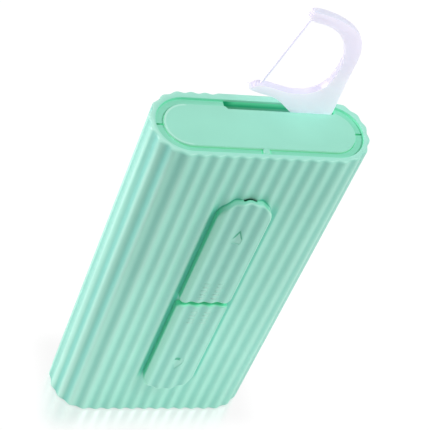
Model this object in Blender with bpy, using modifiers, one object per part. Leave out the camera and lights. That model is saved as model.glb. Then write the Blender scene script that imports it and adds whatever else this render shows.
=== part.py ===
"""Pocket case for floss picks: two fluted half shells, two slide buttons, a lift-out magazine and five picks.

X runs across the case, Y from the front to the back and Z up. The origin is the middle of the case's base.
"""
import math

import bpy
import bmesh
from mathutils import Matrix, Vector

MM = 0.001

# Case
case_width = 43.9 * MM
case_depth = 15.52 * MM
case_height = 88.0 * MM
wall = 1.31 * MM
floor_thickness = 1.3 * MM
edge_fillet = 0.45 * MM
seam_gap = 0.2 * MM
clearance = 0.3 * MM
overrun = 2.0 * MM
bite = 0.5 * MM
weld_distance = 0.001 * MM

# Flutes
flute_pitch = 2.77 * MM
flute_depth = 0.34 * MM
flute_guide_inset = 0.9 * MM
points_per_flute = 8
smooth_strip_flutes = 2.5

# Flange and plate in the top
ring_drop = 0.6 * MM
ring_thickness = 1.1 * MM
ring_width = 1.38 * MM
ring_end_width = 1.6 * MM
plate_drop = 0.17 * MM
plate_thickness = 1.45 * MM
plate_fillet = 0.16 * MM
key_width = 1.2 * MM
key_thickness = 1.1 * MM
key_drop = 0.08 * MM

# Slot for the picks
slot_left_margin = 2.98 * MM
slot_right_margin = 0.95 * MM
slot_width = 2.03 * MM
slot_corner = 0.5 * MM

# Picks
pick_thickness = 1.5 * MM
pick_headroom = 0.28 * MM
pick_lane_gap = 0.2 * MM
pick_lane_count = 5
pick_edge = 0.22 * MM
pick_right_margin = 4.04 * MM
pick_left_margin = 5.3 * MM
pick_head_height = 26.5 * MM
pick_out = 28.8 * MM
floss_diameter = 0.5 * MM

# Slide buttons
button_half_width = 5.53 * MM
button_height = 1.53 * MM
button_clearance = 0.25 * MM
button_fillet = 0.4 * MM
button_corner = 1.0 * MM
button_arch = 5.3 * MM
button_top_margin = 11.9 * MM
button_bottom_margin = 10.7 * MM
button_split_height = 43.05 * MM
button_split_gap = 1.25 * MM
upper_travel = 8.0 * MM
lower_travel = 5.0 * MM
stem_half_width = 0.9 * MM
stem_length = 6.0 * MM
upper_stem_drop = 0.8875 * MM
lower_stem_drop = 1.5625 * MM
arrow_height = 4.2 * MM
arrow_head_height = 2.6 * MM
arrow_width = 2.1 * MM
arrow_foot_width = 1.8 * MM
arrow_offset = 0.35 * MM
upper_arrow_margin = 8.2 * MM
lower_arrow_margin = 8.1 * MM
arrow_floor = 0.12 * MM

# Slides behind the front wall
slide_thickness = 0.7 * MM
slide_half_width = 4.2 * MM
push_bar_margin = 0.19 * MM
push_bar_width = 3.5 * MM
push_plate_margin = 2.0 * MM
yoke_bottom = 6.8 * MM
yoke_height = 3.0 * MM
yoke_overlap = 0.9 * MM
release_plate_margin = 4.0 * MM
release_arm_gap = 2.0 * MM
release_arm_height = 3.0 * MM
wedge_width = 2.6 * MM
wedge_depth = 0.25 * MM
wedge_height = 1.8 * MM

# Springs beside the magazine
spring_margin = 8.04 * MM
spring_y = -1.2 * MM
spring_radius = 1.75 * MM
spring_wire = 0.5 * MM
return_turns = 8
release_turns = 7
points_per_turn = 10
shelf_thickness = 1.2 * MM
shelf_half_width = 2.4 * MM
post_radius = 1.0 * MM
post_length = 4.0 * MM
return_seat_drop = 8.8 * MM
release_seat_height = 7.0 * MM
seat_thickness = 1.5 * MM

# Magazine
magazine_bottom = 9.0 * MM
magazine_wall = 0.7 * MM
magazine_floor = 1.0 * MM
magazine_spring_gap = 4.0 * MM
magazine_inset = 0.3 * MM
magazine_open_margin = 0.5 * MM
magazine_open_front = 2.6 * MM
rest_width = 4.0 * MM
rest_depth = 2.6 * MM
rest_margin = 1.6 * MM
rest_spacing = 9.0 * MM
catch_width = 3.0 * MM
catch_height = 0.9 * MM
catch_rise = 2.75 * MM
nose_reach = 0.33 * MM
nose_tip = 0.3 * MM

# Follower plate and its leaf springs
follower_thickness = 0.6 * MM
follower_bottom_margin = 6.0 * MM
follower_top_margin = 6.08 * MM
follower_edge = 0.12 * MM
leaf_end_margin = 0.8 * MM
leaf_width = 3.5 * MM
leaf_thickness = 0.2 * MM
leaf_rise = 0.4 * MM
leaf_gap = 0.15 * MM
leaf_lower_margin = 13.0 * MM
leaf_upper_margin = 14.0 * MM

# Colours
mint = (0.36, 0.78, 0.63, 1.0)
mint_dark = (0.30, 0.72, 0.56, 1.0)
pick_white = (0.86, 0.88, 0.95, 1.0)
floss_white = (0.93, 0.93, 0.97, 1.0)
steel = (0.62, 0.63, 0.65, 1.0)

# Values that follow from the sizes above
half_width = case_width / 2
half_depth = case_depth / 2
inner_half_width = half_width - wall
inner_half_depth = half_depth - wall
ring_top = case_height - ring_drop
ring_bottom = ring_top - ring_thickness
plate_half_width = inner_half_width - ring_end_width
plate_half_depth = inner_half_depth - ring_width
plate_top = case_height - plate_drop
plate_bottom = plate_top - plate_thickness
slot_front = inner_half_depth - slot_width
lane_pitch = pick_thickness + pick_lane_gap
rear_lane = slot_front + slot_width / 2
spring_x = -inner_half_width + spring_margin
magazine_left = spring_x + magazine_spring_gap
magazine_half_width = plate_half_width - magazine_inset
magazine_half_depth = plate_half_depth - magazine_inset
magazine_top = plate_bottom - clearance
pick_left = magazine_left + pick_left_margin
pick_right = plate_half_width - pick_right_margin
pick_head_width = pick_right - pick_left
pick_rest = magazine_bottom + magazine_floor + clearance
pick_length = magazine_top - pick_rest - pick_headroom
slot_left = pick_left - slot_left_margin
slot_right = pick_right + slot_right_margin
magazine_open_right = pick_right + magazine_open_margin
rest_left = magazine_left + rest_margin
button_face = half_depth + button_height
button_under = half_depth + button_clearance
upper_button_top = case_height - button_top_margin
upper_button_bottom = button_split_height + button_split_gap / 2
lower_button_top = button_split_height - button_split_gap / 2
lower_button_bottom = button_bottom_margin
upper_stem_bottom = (upper_button_bottom + upper_button_top - stem_length) / 2 - upper_stem_drop
lower_stem_bottom = (lower_button_bottom + lower_button_top - stem_length) / 2 - lower_stem_drop
slide_front = -inner_half_depth + clearance
slide_back = slide_front + slide_thickness
push_bar_right = half_width - half_depth - push_bar_margin
push_bar_left = push_bar_right - push_bar_width
release_arm_right = push_bar_left - release_arm_gap
wedge_left = release_arm_right - clearance - wedge_width
return_seat_height = case_height - return_seat_drop
catch_left = wedge_left
catch_bottom = magazine_bottom + catch_rise
follower_left = pick_left - clearance
follower_bottom = magazine_bottom + follower_bottom_margin
follower_top = magazine_top - follower_top_margin
leaf_lower_height = follower_bottom + leaf_lower_margin
leaf_upper_height = follower_top - leaf_upper_margin
leaf_length = pick_right - follower_left - leaf_end_margin * 2


def clear_scene():
    """Remove every object, mesh and collection that the file holds."""
    for item in list(bpy.data.objects):
        bpy.data.objects.remove(item, do_unlink=True)
    for group in list(bpy.data.collections):
        bpy.data.collections.remove(group)


def new_collection(name):
    """Make a collection in the scene."""
    group = bpy.data.collections.new(name)
    bpy.context.scene.collection.children.link(group)
    return group


clear_scene()
parts = new_collection("floss_pick_case")
cutters = new_collection("cutters")


def plastic(name, colour, roughness, metallic=0.0):
    """Make a material with one colour and finish."""
    made = bpy.data.materials.new(name)
    made.use_nodes = True
    surface = made.node_tree.nodes["Principled BSDF"]
    surface.inputs["Base Color"].default_value = colour
    surface.inputs["Roughness"].default_value = roughness
    surface.inputs["Metallic"].default_value = metallic
    made.diffuse_color = colour
    return made


def link_mesh(name, mesh, group):
    """Put a mesh in the scene as an object."""
    item = bpy.data.objects.new(name, mesh)
    group.objects.link(item)
    if group is cutters:
        item.hide_render = True
        item.display_type = "WIRE"
    return item


def from_curve(name, curve, matrix, group):
    """Turn a curve into a closed mesh object that lies where the matrix puts it."""
    carrier = bpy.data.objects.new(name + "_curve", curve)
    cutters.objects.link(carrier)
    carrier.matrix_world = matrix
    bpy.context.view_layer.update()
    graph = bpy.context.evaluated_depsgraph_get()
    mesh = bpy.data.meshes.new_from_object(carrier.evaluated_get(graph))
    mesh.transform(carrier.matrix_world)
    bpy.data.objects.remove(carrier, do_unlink=True)
    shape = bmesh.new()
    shape.from_mesh(mesh)
    bmesh.ops.remove_doubles(shape, verts=shape.verts, dist=weld_distance)
    bmesh.ops.recalc_face_normals(shape, faces=shape.faces)
    shape.to_mesh(mesh)
    shape.free()
    mesh.name = name
    return link_mesh(name, mesh, group)


upright = Matrix.Identity(4)
facing = Matrix.Rotation(math.radians(90.0), 4, "X")
edgewise = Matrix(((0.0, 0.0, 1.0, 0.0), (1.0, 0.0, 0.0, 0.0), (0.0, 1.0, 0.0, 0.0), (0.0, 0.0, 0.0, 1.0)))


def outline_curve(name, points, thickness):
    """Make a flat closed outline with a thickness."""
    curve = bpy.data.curves.new(name, "CURVE")
    curve.dimensions = "2D"
    curve.fill_mode = "BOTH"
    curve.extrude = thickness / 2
    spline = curve.splines.new("POLY")
    spline.points.add(len(points) - 1)
    for place, (first, second) in zip(spline.points, points):
        place.co = (first, second, 0.0, 1.0)
    spline.use_cyclic_u = True
    return curve


def prism_up(name, points, low, high, group=parts):
    """Outline in X and Y, raised from low to high along Z."""
    place = Matrix.Translation((0.0, 0.0, (low + high) / 2))
    return from_curve(name, outline_curve(name, points, high - low), place @ upright, group)


def prism_back(name, points, low, high, group=parts):
    """Outline in X and Z, carried from low to high along Y."""
    place = Matrix.Translation((0.0, (low + high) / 2, 0.0))
    return from_curve(name, outline_curve(name, points, high - low), place @ facing, group)


def prism_across(name, points, low, high, group=parts):
    """Outline in Y and Z, carried from low to high along X."""
    place = Matrix.Translation(((low + high) / 2, 0.0, 0.0))
    return from_curve(name, outline_curve(name, points, high - low), place @ edgewise, group)


def box(name, across, back, up, group=parts):
    """Box between two limits on each axis."""
    mesh = bpy.data.meshes.new(name)
    shape = bmesh.new()
    bmesh.ops.create_cube(shape, size=1.0)
    size = Vector((across[1] - across[0], back[1] - back[0], up[1] - up[0]))
    middle = Vector((across[0] + across[1], back[0] + back[1], up[0] + up[1])) / 2
    bmesh.ops.scale(shape, verts=shape.verts, vec=size)
    bmesh.ops.translate(shape, verts=shape.verts, vec=middle)
    shape.to_mesh(mesh)
    shape.free()
    return link_mesh(name, mesh, group)


def peg(name, place, radius, low, high, group=cutters, sides=16):
    """Upright round peg."""
    mesh = bpy.data.meshes.new(name)
    shape = bmesh.new()
    bmesh.ops.create_cone(shape, cap_ends=True, segments=sides, radius1=radius, radius2=radius,
                          depth=high - low)
    bmesh.ops.translate(shape, verts=shape.verts, vec=Vector((place[0], place[1], (low + high) / 2)))
    shape.to_mesh(mesh)
    shape.free()
    return link_mesh(name, mesh, group)


def combine(target, tool, operation):
    """Cut, join or intersect the target with a tool, which stays as a hidden guide."""
    step = target.modifiers.new(operation.lower() + "_" + tool.name, "BOOLEAN")
    step.object = tool
    step.operation = operation
    step.solver = "EXACT"
    if tool.name in parts.objects:
        parts.objects.unlink(tool)
        cutters.objects.link(tool)
        tool.hide_render = True
        tool.display_type = "WIRE"


def cut(target, tool):
    """Take the tool out of the target."""
    combine(target, tool, "DIFFERENCE")


def join(target, tool):
    """Fuse the tool to the target."""
    combine(target, tool, "UNION")


def keep_inside(target, tool):
    """Keep what the target and the tool share."""
    combine(target, tool, "INTERSECT")


def settle(item):
    """Turn an object's modifiers into its mesh and weld its corners."""
    bpy.context.view_layer.update()
    graph = bpy.context.evaluated_depsgraph_get()
    mesh = bpy.data.meshes.new_from_object(item.evaluated_get(graph))
    item.modifiers.clear()
    shape = bmesh.new()
    shape.from_mesh(mesh)
    bmesh.ops.remove_doubles(shape, verts=shape.verts, dist=weld_distance)
    bmesh.ops.dissolve_degenerate(shape, edges=shape.edges, dist=weld_distance)
    shape.to_mesh(mesh)
    shape.free()
    item.data = mesh


def round_edges(item, width, segments, angle=40.0):
    """Round the edges that are sharper than an angle."""
    step = item.modifiers.new("rounded_edges", "BEVEL")
    step.width = width
    step.segments = segments
    step.limit_method = "ANGLE"
    step.angle_limit = math.radians(angle)
    step.harden_normals = False
    return step


def finish(item, material, angle=32.0):
    """Give an object its material and smooth shading with crisp edges."""
    settle(item)
    item.data.materials.clear()
    item.data.materials.append(material)
    item.data.shade_smooth()
    item.data.set_sharp_from_angle(angle=math.radians(angle))


def hang_on(children, name, place):
    """Parent objects to an empty that lies on their joint's axis."""
    holder = bpy.data.objects.new(name, None)
    parts.objects.link(holder)
    holder.location = place
    bpy.context.view_layer.update()
    for child in children:
        child.parent = holder
        child.matrix_parent_inverse = holder.matrix_world.inverted()
    return holder


def stadium(reach, depth, arc_steps=16):
    """Outline with straight front and back and half-round ends."""
    middle = reach - depth
    points = []
    for step in range(arc_steps + 1):
        turn = math.pi * (step / arc_steps - 0.5)
        points.append((middle + depth * math.cos(turn), depth * math.sin(turn)))
    for step in range(arc_steps + 1):
        turn = math.pi * (step / arc_steps + 0.5)
        points.append((-middle + depth * math.cos(turn), depth * math.sin(turn)))
    return points


def fluted_outline():
    """Outline of the case, whose flutes follow a guide line a little inside the crests."""
    middle = half_width - half_depth
    guide_radius = half_depth - flute_guide_inset
    quarter = middle + guide_radius * math.pi / 2
    flutes = max(2, round(quarter / flute_pitch))
    steps = flutes * points_per_flute
    corner = []
    for step in range(-steps, steps):
        along = step / points_per_flute
        travel = along * quarter / flutes
        dip = flute_depth * (1.0 + math.cos(2.0 * math.pi * along)) / 2
        corner.append((along, travel, dip))
    points = []
    for side in (-1, 1):
        for along, travel, dip in corner:
            if side > 0 and abs(along) < smooth_strip_flutes:
                continue
            if abs(travel) <= middle:
                place = Vector((travel, -half_depth + dip))
            else:
                turn = (abs(travel) - middle) / guide_radius - math.pi / 2
                reach = half_depth - dip
                across = math.copysign(middle + reach * math.cos(turn), travel)
                place = Vector((across, reach * math.sin(turn)))
            points.append((-side * place.x, -side * place.y))
    return points


def ordered(points):
    """Sort an outline's points by their turn about the stadium's middle line."""
    middle = half_width - half_depth

    def around(point):
        x, y = point
        if abs(x) <= middle:
            return x if y < 0 else 2 * middle + math.pi * half_depth + (middle - x) - middle
        turn = math.atan2(y, abs(x) - middle) + math.pi / 2
        if x > 0:
            return middle + half_depth * turn
        return 3 * middle + math.pi * half_depth + half_depth * (math.pi - turn)
    return sorted(points, key=around)


def pick_outline():
    """Outline of one pick: a bowed head with two arms, and a handle that tapers to a toothpick end."""
    underside_shares = [
        (0.000, 0.203), (0.040, 0.181), (0.113, 0.162), (0.185, 0.146), (0.257, 0.132), (0.338, 0.106),
        (0.406, 0.072), (0.469, 0.031), (0.537, -0.012), (0.612, -0.062), (0.689, -0.128), (0.727, -0.208),
        (0.743, -0.320)]
    handle_shares = [
        (0.749, 0.55), (0.754, 0.62), (0.765, 0.71), (0.782, 0.81), (0.798, 0.90), (0.816, 0.975),
        (0.836, 1.000), (0.858, 0.975), (0.880, 0.90), (0.907, 0.81), (0.934, 0.71), (0.956, 0.62),
        (0.978, 0.53), (0.992, 0.45)]
    bow_shares = [
        (1.000, 0.000), (0.994, 0.140), (0.990, 0.340), (0.990, 0.470), (0.991, 0.560), (0.979, 0.654),
        (0.939, 0.752), (0.850, 0.842), (0.772, 0.888), (0.636, 0.940), (0.510, 0.975), (0.392, 0.998),
        (0.333, 1.000), (0.302, 0.986), (0.294, 0.945), (0.300, 0.913), (0.345, 0.919)]
    hollow_shares = [
        (0.420, 0.910), (0.537, 0.885), (0.636, 0.843), (0.717, 0.786), (0.785, 0.721), (0.836, 0.645),
        (0.870, 0.555), (0.884, 0.461), (0.874, 0.377), (0.850, 0.312), (0.812, 0.264), (0.762, 0.228),
        (0.686, 0.197), (0.586, 0.181), (0.474, 0.181), (0.361, 0.196), (0.239, 0.224), (0.130, 0.250),
        (0.062, 0.260), (0.038, 0.250), (0.030, 0.228)]
    shaft = pick_length - pick_head_height
    points = [(pick_left + across * pick_head_width, shaft + up * pick_head_height)
              for across, up in underside_shares]
    points += [(pick_left + across * pick_head_width, pick_length * (1.0 - down))
               for across, down in handle_shares]
    points += [(pick_left + across * pick_head_width, shaft + up * pick_head_height)
               for across, up in bow_shares + hollow_shares]
    return points


def smooth_outline(points, steps=2):
    """Carry a closed smooth line through an outline's points."""
    made = []
    count = len(points)
    for index in range(count):
        before = Vector(points[index - 1])
        here = Vector(points[index])
        after = Vector(points[(index + 1) % count])
        beyond = Vector(points[(index + 2) % count])
        for step in range(steps):
            share = step / steps
            place = (here * 2 + (after - before) * share
                     + (before * 2 - here * 5 + after * 4 - beyond) * share ** 2
                     + (here * 3 - before - after * 3 + beyond) * share ** 3) / 2
            made.append((place.x, place.y))
    return made


# Shells

body_outline = ordered(fluted_outline())
cavity_outline = stadium(inner_half_width, inner_half_depth)
opening_outline = stadium(plate_half_width + clearance, plate_half_depth + clearance)
mint_plastic = plastic("mint_plastic", mint, 0.36)
inner_plastic = plastic("inner_plastic", mint_dark, 0.45)


def half_shell(name, side):
    """One half of the case: the fluted wall, half of the floor and half of the flange."""
    shell = prism_up(name, body_outline, 0.0, case_height)
    round_edges(shell, edge_fillet, 3, 60.0)
    settle(shell)
    inner = side * seam_gap / 2
    outer = side * (half_depth + overrun)
    half = box(name + "_half", (-half_width - overrun, half_width + overrun),
               (min(inner, outer), max(inner, outer)), (-overrun, case_height + overrun), cutters)
    keep_inside(shell, half)
    settle(shell)
    for label, outline, low, high in (
            ("cavity", cavity_outline, floor_thickness, ring_bottom),
            ("recess", cavity_outline, ring_top, case_height + overrun),
            ("opening", opening_outline, ring_bottom - overrun, ring_top + overrun)):
        cut(shell, prism_up(name + "_" + label, outline, low, high, cutters))
        settle(shell)
    return shell


front_shell = half_shell("front_shell", -1)
rear_shell = half_shell("rear_shell", 1)

key_slot = box("key_slot", (-key_width / 2 - clearance, key_width / 2 + clearance),
               (-inner_half_depth, -plate_half_depth + overrun), (ring_bottom - bite, ring_top + bite / 2),
               cutters)
cut(front_shell, key_slot)
for label, bottom, down, rise in (("upper", upper_stem_bottom, 0.0, upper_travel),
                                  ("lower", lower_stem_bottom, lower_travel, 0.0)):
    track = box(label + "_track", (-stem_half_width - clearance, stem_half_width + clearance),
                (-half_depth - overrun, -inner_half_depth + bite),
                (bottom - down - clearance, bottom + stem_length + rise + clearance), cutters)
    cut(front_shell, track)

return_seat = box("return_seat", (spring_x - shelf_half_width, spring_x + shelf_half_width),
                  (-inner_half_depth - wall / 2, spring_y + shelf_half_width),
                  (return_seat_height, return_seat_height + seat_thickness), cutters)
join(front_shell, return_seat)
join(front_shell, peg("return_seat_post", (spring_x, spring_y), post_radius,
                      return_seat_height - post_length / 2, return_seat_height + seat_thickness / 2))
release_seat = box("release_seat", (spring_x - shelf_half_width, spring_x + shelf_half_width),
                   (-inner_half_depth - wall / 2, spring_y + shelf_half_width),
                   (release_seat_height - seat_thickness, release_seat_height), cutters)
join(front_shell, release_seat)
join(front_shell, peg("release_seat_post", (spring_x, spring_y), post_radius,
                      release_seat_height - seat_thickness / 2, release_seat_height + post_length / 2))
catch = box("catch", (catch_left, catch_left + catch_width),
            (-inner_half_depth - wall / 2, slide_back + wedge_depth),
            (catch_bottom, catch_bottom + catch_height), cutters)
join(front_shell, catch)
for label, left in (("left", rest_left), ("right", rest_left + rest_spacing)):
    join(front_shell, box("front_rest_" + label, (left, left + rest_width), (-rest_depth, -clearance),
                          (floor_thickness / 2, magazine_bottom - clearance), cutters))
    join(rear_shell, box("rear_rest_" + label, (left, left + rest_width), (clearance, rest_depth),
                         (floor_thickness / 2, magazine_bottom - clearance), cutters))

slot_outline = [
    (slot_left, slot_front + slot_corner), (slot_left + slot_corner, slot_front),
    (slot_right - slot_corner, slot_front), (slot_right, slot_front + slot_corner),
    (slot_right, inner_half_depth), (slot_left, inner_half_depth)]
cut(rear_shell, prism_up("rear_slot", slot_outline, ring_bottom - bite, ring_top + bite / 2, cutters))
finish(front_shell, mint_plastic)
finish(rear_shell, mint_plastic)

# Plate with the slot and the key

top_plate = prism_up("top_plate", stadium(plate_half_width, plate_half_depth), plate_bottom, plate_top)
key_top = plate_top - key_drop
join(top_plate, box("key", (-key_width / 2, key_width / 2),
                    (-inner_half_depth + clearance, -plate_half_depth + overrun),
                    (key_top - key_thickness, key_top), cutters))
slot_end = inner_half_depth + overrun
cut_outline = slot_outline[:4] + [(slot_right, slot_end), (slot_left, slot_end)]
cut(top_plate, prism_up("plate_slot", cut_outline, plate_bottom - overrun, plate_top + overrun, cutters))
settle(top_plate)
round_edges(top_plate, plate_fillet, 2, 50.0)
finish(top_plate, mint_plastic)

# Magazine frame

magazine_floor_top = magazine_bottom + magazine_floor
frame_outline = stadium(magazine_half_width, magazine_half_depth)
magazine_frame = prism_up("magazine_frame", frame_outline, magazine_bottom, magazine_top)
keep_inside(magazine_frame, box("magazine_side", (magazine_left, half_width), (-half_depth, half_depth),
                                (0.0, case_height), cutters))
settle(magazine_frame)
inner_outline = stadium(magazine_half_width - magazine_wall, magazine_half_depth - magazine_wall)
frame_inner = prism_up("magazine_inner", inner_outline, magazine_floor_top, magazine_top + overrun, cutters)
keep_inside(frame_inner, box("magazine_inner_side", (magazine_left + magazine_wall, half_width),
                             (-half_depth, half_depth), (0.0, case_height + overrun), cutters))
settle(frame_inner)
cut(magazine_frame, frame_inner)
cut(magazine_frame, box("magazine_mouth", (magazine_left + magazine_wall, magazine_open_right),
                        (magazine_open_front, half_depth), (magazine_floor_top, case_height), cutters))
cut(magazine_frame, box("drawn_pick_way", (pick_left - clearance, magazine_open_right),
                        (rear_lane - pick_thickness / 2 - clearance, half_depth),
                        (magazine_bottom - overrun, magazine_floor_top + bite), cutters))
nose_points = [
    (-magazine_half_depth + magazine_wall / 2, catch_bottom - clearance),
    (-magazine_half_depth - nose_reach, catch_bottom - clearance),
    (-magazine_half_depth - nose_reach, catch_bottom - clearance - nose_tip),
    (-magazine_half_depth + magazine_wall / 2, catch_bottom - clearance - catch_height)]
join(magazine_frame, prism_across("latch_nose", nose_points, catch_left + clearance,
                                  catch_left + catch_width - clearance, cutters))
finish(magazine_frame, mint_plastic)

# Picks

pick_plastic = plastic("pick_plastic", pick_white, 0.3)
floss_fibre = plastic("floss_fibre", floss_white, 0.6)
pick_points = smooth_outline(pick_outline())
floss_top_share = (0.352, 0.915)
floss_bottom_share = (0.128, 0.255)


def make_pick(number):
    """One pick and its floss, in its lane: the first stands half out of the slot."""
    lane = rear_lane - lane_pitch * (number - 1)
    lift = pick_rest + (pick_out if number == 1 else 0.0)
    points = [(x, z + lift) for x, z in pick_points]
    handle = prism_back(f"pick_{number}_handle", points, lane - pick_thickness / 2, lane + pick_thickness / 2)
    round_edges(handle, pick_edge, 1, 50.0)
    finish(handle, pick_plastic, 50.0)
    shaft = pick_length - pick_head_height + lift
    top = Vector((pick_left + floss_top_share[0] * pick_head_width, lane,
                  shaft + floss_top_share[1] * pick_head_height))
    bottom = Vector((pick_left + floss_bottom_share[0] * pick_head_width, lane,
                     shaft + floss_bottom_share[1] * pick_head_height))
    along = (top - bottom).normalized()
    top -= along * clearance
    bottom += along * clearance
    curve = bpy.data.curves.new(f"pick_{number}_floss", "CURVE")
    curve.dimensions = "3D"
    curve.bevel_depth = floss_diameter / 2
    curve.bevel_resolution = 2
    curve.use_fill_caps = True
    spline = curve.splines.new("POLY")
    spline.points.add(1)
    spline.points[0].co = (*bottom, 1.0)
    spline.points[1].co = (*top, 1.0)
    floss = from_curve(f"pick_{number}_floss", curve, upright, parts)
    finish(floss, floss_fibre, 60.0)
    return handle, floss


picks = [make_pick(number) for number in range(1, pick_lane_count + 1)]

# Follower plate and leaf springs

steel_wire = plastic("spring_steel", steel, 0.3, 1.0)
stack_front = rear_lane - lane_pitch * (pick_lane_count - 1) - pick_thickness / 2
follower_back = stack_front - clearance
follower_front = follower_back - follower_thickness
follower_plate = box("follower_plate", (follower_left, pick_right), (follower_front, follower_back),
                     (follower_bottom, follower_top))
round_edges(follower_plate, follower_edge, 1)
finish(follower_plate, inner_plastic)


def leaf_spring(name, height):
    """Bowed strip between the magazine's front wall and the follower plate."""
    steps = 12
    bow = []
    for step in range(steps + 1):
        share = step / steps
        bow.append((share - 0.5, 4.0 * share * (1.0 - share)))
    base = -magazine_half_depth + magazine_wall + leaf_gap
    middle = (follower_left + pick_right) / 2
    front = [(middle + across * leaf_length, base + rise * leaf_rise) for across, rise in bow]
    back = [(x, y + leaf_thickness) for x, y in reversed(front)]
    leaf = prism_up(name, front + back, height - leaf_width / 2, height + leaf_width / 2)
    finish(leaf, steel_wire)
    return leaf


lower_leaf = leaf_spring("follower_spring_lower", leaf_lower_height)
upper_leaf = leaf_spring("follower_spring_upper", leaf_upper_height)

# Slide buttons

button_flutes = max(1, round(button_half_width / flute_pitch))


def button_profile():
    """Section across a button: a fluted face over a flat underside, a quarter flute wider than the button."""
    quarter_flute = points_per_flute // 4
    steps = button_flutes * points_per_flute
    face = []
    for step in range(-steps - quarter_flute, steps + quarter_flute + 1):
        share = step / steps
        dip = flute_depth * (1.0 + math.cos(2.0 * math.pi * share * button_flutes)) / 2
        face.append((share * button_half_width, -button_face + dip))
    return face + [(face[-1][0], -button_under), (face[0][0], -button_under)]


def arch(straight_end, far_end):
    """Outline of a button from the front: rounded corners at the split and a bow at its far end."""
    steps = 14
    corner_steps = 4
    away = math.copysign(1.0, far_end - straight_end)
    points = []
    for step in range(steps + 1):
        turn = math.pi * (step / steps - 0.5)
        fall = button_arch * (1.0 - math.cos(turn))
        points.append((button_half_width * math.sin(turn), far_end - away * fall))
    for side in (1, -1):
        middle = (side * (button_half_width - button_corner), straight_end + away * button_corner)
        for step in range(corner_steps + 1):
            share = step / corner_steps if side > 0 else 1.0 - step / corner_steps
            turn = share * math.pi / 2
            points.append((middle[0] + side * button_corner * math.cos(turn),
                           middle[1] - away * button_corner * math.sin(turn)))
    return points


def arrow(middle_height, points_up):
    """Outline of the arrow on a button."""
    tip = arrow_height / 2 if points_up else -arrow_height / 2
    head = arrow_head_height if points_up else -arrow_head_height
    point = middle_height + tip
    shoulder = point - head
    base = middle_height - tip
    half_head = arrow_width / 2
    half_foot = arrow_foot_width / 2
    return [(arrow_offset, point), (arrow_offset - half_head, shoulder), (arrow_offset - half_foot, base),
            (arrow_offset + half_foot, base), (arrow_offset + half_head, shoulder)]


def make_button(name, straight_end, far_end, stem_bottom, arrow_margin):
    """One half of the button with its stem through the wall."""
    low_end = min(straight_end, far_end) - overrun
    high_end = max(straight_end, far_end) + overrun
    points_up = far_end > straight_end
    button = prism_up(name, button_profile(), low_end, high_end)
    keep_inside(button, prism_back(name + "_outline", arch(straight_end, far_end), -button_face - overrun,
                                   -button_under + overrun, cutters))
    settle(button)
    round_edges(button, button_fillet, 2, 50.0)
    settle(button)
    join(button, box(name + "_stem", (-stem_half_width, stem_half_width),
                     (-button_under - bite, slide_back - slide_thickness / 4),
                     (stem_bottom, stem_bottom + stem_length), cutters))
    inward = arrow_margin + arrow_height / 2
    middle_height = far_end - inward if points_up else far_end + inward
    floor = -button_face + flute_depth + arrow_floor
    cut(button, prism_back(name + "_arrow", arrow(middle_height, points_up), -button_face - overrun, floor,
                           cutters))
    finish(button, mint_plastic)
    return button


upper_button = make_button("upper_button", upper_button_bottom, upper_button_top, upper_stem_bottom,
                           upper_arrow_margin)
lower_button = make_button("lower_button", lower_button_top, lower_button_bottom, lower_stem_bottom,
                           lower_arrow_margin)

# Slides behind the front wall

push_low = upper_stem_bottom - push_plate_margin
push_high = upper_stem_bottom + stem_length + push_plate_margin
push_arm_low = push_high - push_plate_margin * 2
push_bar_end = yoke_bottom + yoke_height + clearance
shelf_left = spring_x - shelf_half_width
shelf_right = spring_x + shelf_half_width
shelf_back = spring_y + shelf_half_width
shelf_front = slide_front + slide_thickness / 3
push_outline = [
    (-slide_half_width, push_low), (push_bar_left, push_low), (push_bar_left, push_bar_end),
    (push_bar_right, push_bar_end), (push_bar_right, push_high), (shelf_left, push_high),
    (shelf_left, push_arm_low), (-slide_half_width, push_arm_low)]
push_slider = prism_back("push_slider", push_outline, slide_front, slide_back)
return_shelf = push_high - shelf_thickness
join(push_slider, box("push_shelf", (shelf_left + clearance, shelf_right), (shelf_front, shelf_back),
                      (return_shelf, push_high), cutters))
join(push_slider, peg("push_post", (spring_x, spring_y), post_radius, push_high - shelf_thickness / 2,
                      push_high + post_length))
cut(push_slider, box("push_socket", (-stem_half_width - clearance, stem_half_width + clearance),
                     (slide_front - overrun, slide_back + overrun),
                     (upper_stem_bottom - clearance, upper_stem_bottom + stem_length + clearance), cutters))
finish(push_slider, inner_plastic)

release_low = lower_stem_bottom - release_plate_margin
release_high = lower_stem_bottom + stem_length + push_plate_margin
release_arm_low = release_high - push_plate_margin * 2
release_outline = [
    (shelf_left, release_high), (shelf_left, release_arm_low), (-slide_half_width, release_arm_low),
    (-slide_half_width, release_low),
    (release_arm_right, release_low), (release_arm_right, release_low + release_arm_height),
    (slide_half_width, release_low + release_arm_height), (slide_half_width, release_high)]
release_slide = prism_back("release_slide", release_outline, slide_front, slide_back)
release_shelf = release_high - shelf_thickness
join(release_slide, box("release_shelf", (shelf_left + clearance, shelf_right), (shelf_front, shelf_back),
                        (release_shelf, release_high), cutters))
join(release_slide, peg("release_post", (spring_x, spring_y), post_radius, release_shelf - post_length,
                        release_shelf + shelf_thickness / 2))
wedge_points = [
    (slide_back - slide_thickness / 2, release_low), (slide_back + wedge_depth / 4, release_low),
    (slide_back + wedge_depth, release_low + wedge_height),
    (slide_back - slide_thickness / 2, release_low + wedge_height)]
join(release_slide, prism_across("wedge", wedge_points, wedge_left, release_arm_right - clearance, cutters))
cut(release_slide, box("release_socket", (-stem_half_width - clearance, stem_half_width + clearance),
                       (slide_front - overrun, slide_back + overrun),
                       (lower_stem_bottom - clearance, lower_stem_bottom + stem_length + clearance), cutters))
finish(release_slide, inner_plastic)

# Yoke round the right end, under the rear pick


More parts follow.
